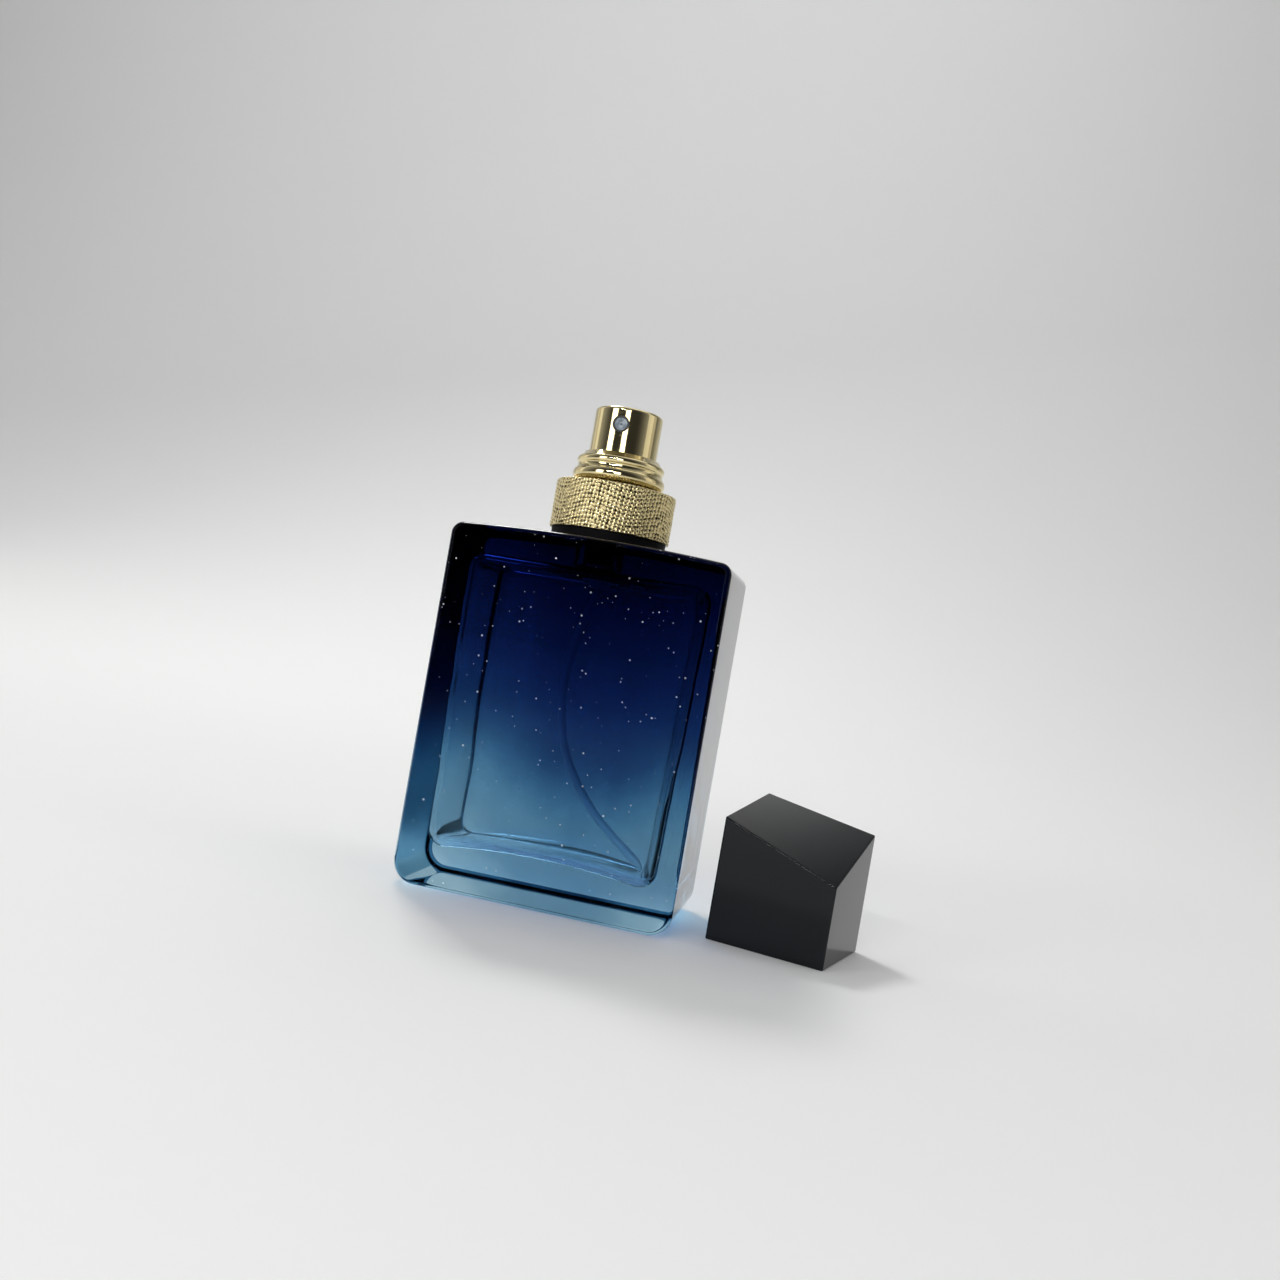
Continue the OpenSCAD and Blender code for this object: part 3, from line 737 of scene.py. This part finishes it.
def polished_gold():
    """Drawn gold: fine brushing round it and a few duller spots."""
    m = Nodes("polished_gold")
    tone = m.noise(120, 5)
    m.set(Base_Color=m.mix(tone, (0.70, 0.58, 0.30), (0.84, 0.73, 0.43)), Metallic=1.0)
    brushed = m.noise(900, 4, vector=m.stretched((0.35, 0.35, 6)))
    spots = m.remap(m.noise(420, 6, 0.7), 0.5, 0.8, 0.0, 0.16)
    m.set(Roughness=m.math("ADD", m.remap(brushed, 0.3, 0.7, 0.04, 0.1), spots))
    m.bump(m.noise(1500, 5, vector=m.stretched((0.3, 0.3, 3))), 0.25, 0.00001)
    return m.material


GOLD = polished_gold()


def ferrule():
    """Sleeve with two rounded beads over the crimp, the lower one wider."""
    lo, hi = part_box("ferrule_sleeve")
    lower_mid, lower_z, lower_round = 8.0 * MM, 87 * MM, 1.6 * MM
    upper_mid, upper_z, upper_round = 8.15 * MM, 89.9 * MM, 0.95 * MM
    cup, crimp, skirt = 7.35 * MM, 8.23 * MM, 8.8 * MM      # radii, inside and at the foot
    crimp_top, seat = 85.7 * MM, 0.03 * MM
    foot_edge, lip = 0.1 * MM, 0.35 * MM
    same_point = 0.004 * MM
    profile = [(crimp, lo.z), (skirt - foot_edge, lo.z), (skirt, lo.z + foot_edge),
               (skirt, lower_z - 1.32 * MM)]
    profile += arc_points(lower_mid, lower_z, lower_round, -54, 52, 18)
    profile += arc_points(upper_mid, upper_z, upper_round, -52, 90, 20)
    profile += [(cup + 0.5 * MM, hi.z)]
    profile += arc_points(cup + lip, hi.z - lip, lip, 90, 180, 8)
    profile += [(cup, crimp_top), (cup, crimp_top + seat), (crimp, crimp_top + seat)]
    clean = [profile[0]]
    for point in profile[1:]:
        if math.dist(point, clean[-1]) > same_point:
            clean.append(point)
    return lathe("ferrule_beads", clean, [GOLD])


sleeve = ferrule()
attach(sleeve, "bottle")
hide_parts("ferrule_sleeve")


# ---------- dip tube ----------

# The tube's route, as in the CAD: straight out of the housing, then one long curve
TUBE_SOCKET_Z = (67.0, 65.4, 64.6)                                              # mm
TUBE_CURVE = ((0, 0, 63.4), (-9.5, 0, 38), (-0.5, 0, 20.8), (20.05, 0, 9.3))    # mm
TUBE_STEPS = 64
TUBE_SIDES = 28
TUBE_R = 0.9 * MM
TUBE_BORE_R = 0.6 * MM


def tube_route():
    """Points along the tube: its socket, then a cubic curve through the hollow."""
    start, bow, turn, end = (Vector(p) * MM for p in TUBE_CURVE)
    route = [Vector((0, 0, z)) * MM for z in TUBE_SOCKET_Z]
    for k in range(TUBE_STEPS + 1):
        t = k / TUBE_STEPS
        route.append((1 - t) ** 3 * start + 3 * t * (1 - t) ** 2 * bow
                     + 3 * t * t * (1 - t) * turn + t ** 3 * end)
    return route


def clear_tube():
    m = Nodes("clear_tube")
    m.set(Base_Color=m.mix(m.noise(200, 4), (0.86, 0.93, 1.0), (0.96, 0.98, 1.0)))
    m.set(Transmission_Weight=0.6, IOR=1.42)
    m.set(Roughness=m.remap(m.noise(300, 4), 0.3, 0.7, 0.05, 0.16))
    m.bump(m.noise(700, 3), 0.3, 0.00003)
    return m.material


def dip_tube():
    """Open tube along the route, with its bore."""
    route = tube_route()
    count, last = len(route), len(route) - 1
    around = [2 * math.pi * j / TUBE_SIDES for j in range(TUBE_SIDES)]
    verts, faces = [], []
    for radius in (TUBE_R, TUBE_BORE_R):
        for k, point in enumerate(route):
            along = (route[min(k + 1, last)] - route[max(k - 1, 0)]).normalized()
            across = Vector((0, 1, 0)).cross(along).normalized()
            other = along.cross(across)
            verts += [point + radius * (math.cos(a) * across + math.sin(a) * other) for a in around]
    bore = count * TUBE_SIDES
    for start in (0, bore):
        for k in range(last):
            ring = start + k * TUBE_SIDES
            faces += ring_quads(ring, ring + TUBE_SIDES, TUBE_SIDES)
    for end in (0, last * TUBE_SIDES):
        faces += ring_quads(end, bore + end, TUBE_SIDES)
    return new_object("dip_tube_clear", verts, faces, [clear_tube()])


tube = dip_tube()
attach(tube, "bottle")
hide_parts("dip_tube")


# ---------- CAD nodes that keep their own shape ----------

def black_gloss():
    """Polished black with faint smudges and specks of dust."""
    m = Nodes("black_gloss")
    smudge = m.noise(70, 6, 0.6)
    m.set(Base_Color=m.mix(smudge, (0.0015, 0.0024, 0.0042), (0.004, 0.0058, 0.0085)))
    dust = m.remap(m.voronoi(900)["Distance"], 0.0, 0.06, 0.35, 0.0)
    m.set(Roughness=m.math("ADD", m.remap(smudge, 0.35, 0.75, 0.02, 0.08), dust))
    m.set(IOR=1.36)
    m.bump(m.noise(60, 3), 0.08, 0.0002)
    return m.material


def nozzle_plastic():
    """Mottled grey plastic."""
    m = Nodes("nozzle_plastic")
    mottle = m.noise(1400, 6, 0.7)
    greys = [(0.32, (0.06, 0.075, 0.09)), (0.5, (0.20, 0.24, 0.29)), (0.68, (0.50, 0.56, 0.62))]
    m.set(Base_Color=m.ramp(mottle, greys))
    m.set(Roughness=m.remap(mottle, 0.3, 0.7, 0.22, 0.5))
    m.bump(mottle, 0.4, 0.00005)
    return m.material


def drawn_metal(name, dark, light, rough):
    """Bare metal brushed along its draw."""
    m = Nodes(name)
    brushed = m.noise(1100, 4, vector=m.stretched((0.3, 0.3, 5)))
    m.set(Base_Color=m.mix(brushed, dark, light), Metallic=1.0)
    m.set(Roughness=m.remap(m.noise(800, 5), 0.3, 0.7, *rough))
    m.bump(brushed, 0.3, 0.00001)
    return m.material


FINISH = {
    "actuator_shell": GOLD,
    "crimp_ferrule": drawn_metal("aluminium", (0.62, 0.63, 0.65), (0.78, 0.79, 0.80), (0.2, 0.4)),
    "collar_liner": plain("black_liner", (0.002, 0.002, 0.003), (0.006, 0.006, 0.007),
                          (0.45, 0.6), 500, 2400, 0.00003, IOR=1.12),
    "actuator_core": plain("dark_plastic", (0.012, 0.012, 0.014), (0.03, 0.03, 0.033),
                           (0.35, 0.55), 400, 2000, 0.00003),
    "neck_gasket": plain("rubber_seal", (0.015, 0.015, 0.015), (0.035, 0.034, 0.033),
                         (0.6, 0.85), 700, 2600, 0.00004),
    "pump_housing": plain("natural_plastic", (0.66, 0.67, 0.67), (0.80, 0.81, 0.82),
                          (0.3, 0.5), 350, 1800, 0.00003, Subsurface_Weight=0.2),
    "inlet_ball": drawn_metal("spring_steel", (0.45, 0.46, 0.48), (0.62, 0.63, 0.65), (0.12, 0.3)),
    "nozzle_insert": nozzle_plastic(),
}
# Nodes made of the same stuff as one above
SHARED = {
    "cap_liner": "actuator_core", "stem_seal": "neck_gasket", "turret": "pump_housing",
    "valve_rod": "pump_housing", "stem": "pump_housing", "piston": "pump_housing",
    "return_spring": "inlet_ball", "piston_spring": "inlet_ball",
}
for name, obj in nodes.items():
    material = FINISH.get(SHARED.get(name, name))
    if material is None:
        continue
    obj.data.materials.clear()
    obj.data.materials.append(material)


# ---------- springs ----------

# Each spring that a joint works against gets its own copy of its mesh, on the joint's parent body
for joint in frame["joints"]:
    for spring in joint.get("deforming_nodes", ()):
        name, fixed_z = spring["node"], spring["fixed_end_z_m"]
        coil = bpy.data.objects.new(name + "_coil", nodes[name].data.copy())
        bpy.context.scene.collection.objects.link(coil)
        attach(coil, joint["parent"])
        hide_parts(name)
        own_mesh(coil)


# ---------- nozzle ----------

def nozzle_gap_shade():
    """Dark ring over the gap between the nozzle insert and the gold shell: painted shade standing
    in for that gap's shadow.
    """
    lo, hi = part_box("nozzle_insert")
    radius = (hi.x - lo.x) / 2
    overlap, cover, proud, clear, edge = 0.12 * MM, 0.33 * MM, 0.07 * MM, 0.01 * MM, 0.02 * MM
    inner, outer = radius - overlap, radius + cover
    front, back = lo.y - proud, lo.y - clear
    profile = [(inner, back), (inner, front + edge), (inner + edge, front), (outer - edge, front),
               (outer, front + edge), (outer, back)]
    ring = lathe("nozzle_gap_shade", profile, [FINISH["actuator_core"]], steps=96)
    middle = Vector(((lo.x + hi.x) / 2, 0, (lo.z + hi.z) / 2))
    stand = Matrix.Translation(middle) @ Matrix.Rotation(math.radians(-90), 4, "X")
    ring.data.transform(stand)
    return ring


# A dark ring as painted shade where the nozzle's gap is in shadow
rim = nozzle_gap_shade()
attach(rim, "actuator")


# ---------- cap ----------

CAP_SIDE = 24 * MM
CAP_TURN = -15                      # degrees, as it stands beside the bottle
CAP_MIDDLE = (49 * MM, 1 * MM, 0)
CAP_LOW, CAP_MID, CAP_HIGH = 15.8 * MM, 24.2 * MM, 28 * MM      # its corners' heights
CAP_CELLS = 32                      # across its slanting top
# The hollow under it, by radius and height in millimetres, from the foot up
CAP_HOLLOW = ((10.5, 0), (10.5, 6.6), (9, 6.6), (9, 17.2), (4, 17.2))


def cap_block():
    """Slant-topped block over its stepped hollow, with straight top edges."""
    half, cells, row = CAP_SIDE / 2, CAP_CELLS, CAP_CELLS + 1

    def point(i, j):
        u, v = i / cells, j / cells
        low, high = CAP_LOW * (1 - u) * (1 - v), CAP_HIGH * u * v
        height = low + CAP_MID * (u * (1 - v) + v * (1 - u)) + high
        return (half - CAP_SIDE * i / cells, -half + CAP_SIDE * j / cells, height)

    verts = [point(i, j) for j in range(row) for i in range(row)]
    faces = [(j * row + i, j * row + i + 1, (j + 1) * row + i + 1, (j + 1) * row + i)
             for j in range(cells) for i in range(cells)]
    rim = list(range(cells)) + [j * row + cells for j in range(cells)]
    rim += [cells * row + cells - i for i in range(cells)]
    rim += [(cells - j) * row for j in range(cells)]
    count, foot = len(rim), len(verts)
    verts += [(verts[i][0], verts[i][1], 0.0) for i in rim]
    for k in range(count):
        n = (k + 1) % count
        faces.append((rim[k], rim[n], foot + n, foot + k))
    angles = [math.radians(-45) - 2 * math.pi * k / count for k in range(count)]
    previous = foot
    for radius, z in CAP_HOLLOW:
        start = len(verts)
        verts += [(radius * MM * math.cos(a), radius * MM * math.sin(a), z * MM) for a in angles]
        faces += ring_quads(previous, start, count)
        previous = start
    faces.append(tuple(previous + k for k in range(count)))
    place = Matrix.Translation(CAP_MIDDLE) @ Matrix.Rotation(math.radians(CAP_TURN), 4, "Z")
    return new_object("cap_block", [place @ Vector(v) for v in verts], faces, [black_gloss()])


cap = cap_block()
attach(cap, "cap")
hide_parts("cap_shell")
# Its edges are slightly rounded, but not the shallow folds within the slanting top
rounded = cap.modifiers.new("edge", "BEVEL")
rounded.width = 0.3 * MM
rounded.segments = 3
rounded.limit_method = "ANGLE"
rounded.angle_limit = math.radians(35)
rounded.harden_normals = True


# ---------- stage, camera and light ----------

PAPER = (0.93, 0.935, 0.925)
PAINTED_SHADE_NEAR_Y, PAINTED_SHADE_FAR_Y = -0.2, -0.8      # where the painted shade on the floor in front starts and reaches its full depth
PAINTED_SHADE_SHARE = 0.3
# The sweep in section, in metres
SWEEP_HALF, SWEEP_FRONT, SWEEP_BACK, SWEEP_HEIGHT, SWEEP_BEND = 6.0, -5.0, 1.5, 4.0, 1.2
SWEEP_DROP = 0.02 * MM                      # keeps the floor clear of the glass's base


def studio_paper():
    """Pale paper with painted shade well in front of the bottle, so that the glass has a dark side.
    """
    m = Nodes("studio_paper")
    split = m.add("ShaderNodeSeparateXYZ")
    m.link(m.place, split.inputs[0])
    # Painted shade: the paper darkens towards the front, where the light would fall off
    painted_front_shade = m.remap(split.outputs["Y"], PAINTED_SHADE_NEAR_Y, PAINTED_SHADE_FAR_Y, 0.0, 1.0, smooth=True)
    paper = m.mix(m.noise(6, 3), PAPER, tuple(c * 0.985 for c in PAPER))
    m.set(Base_Color=m.mix(painted_front_shade, paper, tuple(c * PAINTED_SHADE_SHARE for c in PAPER)))
    m.set(Roughness=m.remap(m.noise(120, 4), 0.3, 0.7, 0.75, 0.95))
    m.bump(m.noise(500, 3), 0.1, 0.0001)
    return m.material


def backdrop():
    """Floor that sweeps up behind the bottle."""
    rise_y = SWEEP_BACK - SWEEP_BEND
    profile = [(SWEEP_FRONT + (rise_y - SWEEP_FRONT) * k / 12, 0.0) for k in range(12)]
    profile += arc_points(rise_y, SWEEP_BEND, SWEEP_BEND, -90, 0, 16)
    profile += [(SWEEP_BACK, SWEEP_HEIGHT)]
    verts = [(x, y, z - SWEEP_DROP) for y, z in profile for x in (-SWEEP_HALF, SWEEP_HALF)]
    faces = [(2 * k, 2 * k + 1, 2 * k + 3, 2 * k + 2) for k in range(len(profile) - 1)]
    return new_object("studio_sweep", verts, faces, [studio_paper()])


backdrop()

CAMERA_LENS, CAMERA_SENSOR = 33.75, 36      # mm
CAMERA_PLACE = (54.09, -241.97, 53.21)      # mm, in front, to the right and at mid height
CAMERA_RIGHT = (0.96955, 0.17447, 0.17186)
CAMERA_UP = (-0.16765, -0.03871, 0.98509)   # rolled about ten degrees to the left
CAMERA_AHEAD = (-0.17852, 0.98390, 0.00828)

camera_data = bpy.data.cameras.new("camera")
camera_data.lens = CAMERA_LENS
camera_data.sensor_width = CAMERA_SENSOR
camera_data.clip_start = 0.01
camera = bpy.data.objects.new("camera", camera_data)
bpy.context.scene.collection.objects.link(camera)
right, up, ahead = (Vector(v).normalized() for v in (CAMERA_RIGHT, CAMERA_UP, CAMERA_AHEAD))
aim = Matrix((right, up, -ahead)).transposed().to_4x4()
camera.matrix_world = Matrix.Translation(Vector(CAMERA_PLACE) * MM) @ aim
bpy.context.scene.camera = camera


def area_light(name, place, target, width, height, power, colour=(1, 1, 1)):
    """Rectangular lamp at a place in metres, facing a target, with its power in watts."""
    data = bpy.data.lights.new(name, "AREA")
    data.shape = "RECTANGLE"
    data.size, data.size_y = width, height
    data.energy = power
    data.color = colour
    obj = bpy.data.objects.new(name, data)
    bpy.context.scene.collection.objects.link(obj)
    obj.location = place
    obj.rotation_euler = (Vector(target) - Vector(place)).to_track_quat("-Z", "Y").to_euler()


area_light("key", (-0.30, 0.42, 0.80), (0, 0, 0.03), 0.16, 0.16, 2.8)
area_light("overhead", (0.1, 0.45, 1.5), (0, 0.35, 0), 1.6, 1.2, 2.4)
area_light("backdrop_light", (-0.5, 0.35, 1.4), (-0.5, 1.5, 1.0), 2.4, 0.6, 9.5)
area_light("side_right", (0.75, 0.12, 0.25), (0, 0, 0.08), 0.5, 0.6, 0.4, (1.0, 0.95, 0.86))
area_light("side_left", (-0.8, 0.25, 0.25), (0, 0, 0.08), 0.5, 0.6, 0.5, (1.0, 0.97, 0.9))
area_light("strip_left", (-0.373, -0.47, 0.20), (0, 0, 0.09), 0.19, 0.36, 0.8)
area_light("strip_front", (0.072, -0.596, 0.22), (0, 0, 0.09), 0.16, 0.30, 0.7)
area_light("bar_front", (-0.12, -0.62, 0.38), (0, 0, 0.02), 0.22, 0.014, 0.9)

# Pale room, darker in front of the bottle
ROOM_COLOUR = (0.97, 0.98, 1.0, 1.0)
ROOM_RANGE = (-0.75, 0.3, 0.035, 0.50)      # from Y and to Y of the direction, and the strengths

world = bpy.data.worlds.new("studio_world")
bpy.context.scene.world = world
world.use_nodes = True
room = world.node_tree
background = room.nodes["Background"]
direction = room.nodes.new("ShaderNodeTexCoord")
axes = room.nodes.new("ShaderNodeSeparateXYZ")
room.links.new(direction.outputs["Generated"], axes.inputs[0])
strength = room.nodes.new("ShaderNodeMapRange")
strength.interpolation_type = "SMOOTHSTEP"
for key, value in zip(RANGE_SOCKETS, ROOM_RANGE):
    strength.inputs[key].default_value = value
room.links.new(axes.outputs["Y"], strength.inputs["Value"])
room.links.new(strength.outputs["Result"], background.inputs["Strength"])
background.inputs["Color"].default_value = ROOM_COLOUR

bpy.context.scene.view_settings.view_transform = "Standard"
